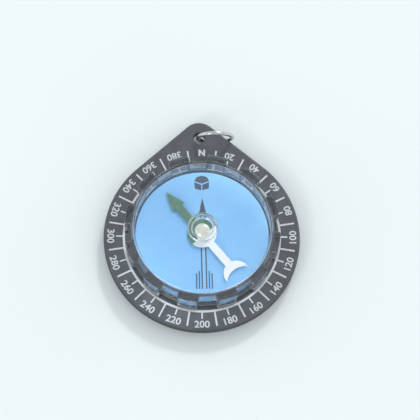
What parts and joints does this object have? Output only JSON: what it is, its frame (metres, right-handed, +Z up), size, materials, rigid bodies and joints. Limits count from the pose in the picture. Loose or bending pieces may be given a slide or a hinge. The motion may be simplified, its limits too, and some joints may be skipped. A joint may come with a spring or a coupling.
{
  "type": "qibla compass",
  "caption": "Keyring qibla compass: a flat plate with a printed scale and a tab, a clear capsule that turns in it, a needle swinging over a dial, and a small wire ring.",
  "frame": {"origin": "on the compass axis, on the flat face that the capsule rests on", "axes": "+Z up out of the window along the compass axis, +Y towards the tab, +X to the right seen from above"},
  "size_m": [0.048, 0.0544, 0.0122],
  "materials": {
    "black_plastic": "black moulded plastic, satin, with a white printed scale",
    "clear_plastic": "clear polished plastic",
    "dial_print": "light blue card with a dark print",
    "pin_steel": "ground steel",
    "needle_paint": "thin paint on steel strip, green to the north and white to the south",
    "cap_brass": "turned brass",
    "jewel_glass": "ground glass cup",
    "ring_steel": "bright plated wire",
    "scale_ink": "white printing ink on the plate",
    "dial_ink": "dark slate printing ink on the dial card"
  },
  "bodies": {
    "plate": {"base_plate": "black_plastic"},
    "capsule": {"retaining_ring": "black_plastic", "capsule_base": "black_plastic", "capsule_cover": "clear_plastic", "dial_card": "dial_print", "pivot_pin": "pin_steel"},
    "needle": {"needle_blade": "needle_paint", "bearing_cap": "cap_brass", "jewel_bearing": "jewel_glass"},
    "ring": {"key_ring": "ring_steel"}
  },
  "joints": [
    {"name": "capsule_turn", "type": "hinge", "parent": "plate", "child": "capsule", "pos_m": [0, 0, 0.00337], "axis": [0, 0, 1], "continuous": true},
    {"name": "needle_swing", "type": "hinge", "parent": "capsule", "child": "needle", "pos_m": [0, 0, 0.00741], "axis": [0, 0, 1], "continuous": true},
    {"name": "key_ring_swing", "type": "hinge", "parent": "plate", "child": "ring", "pos_m": [0, 0.0261, 0.00337], "axis": [0, 0, 1], "range_deg": [0, 175]}
  ]
}
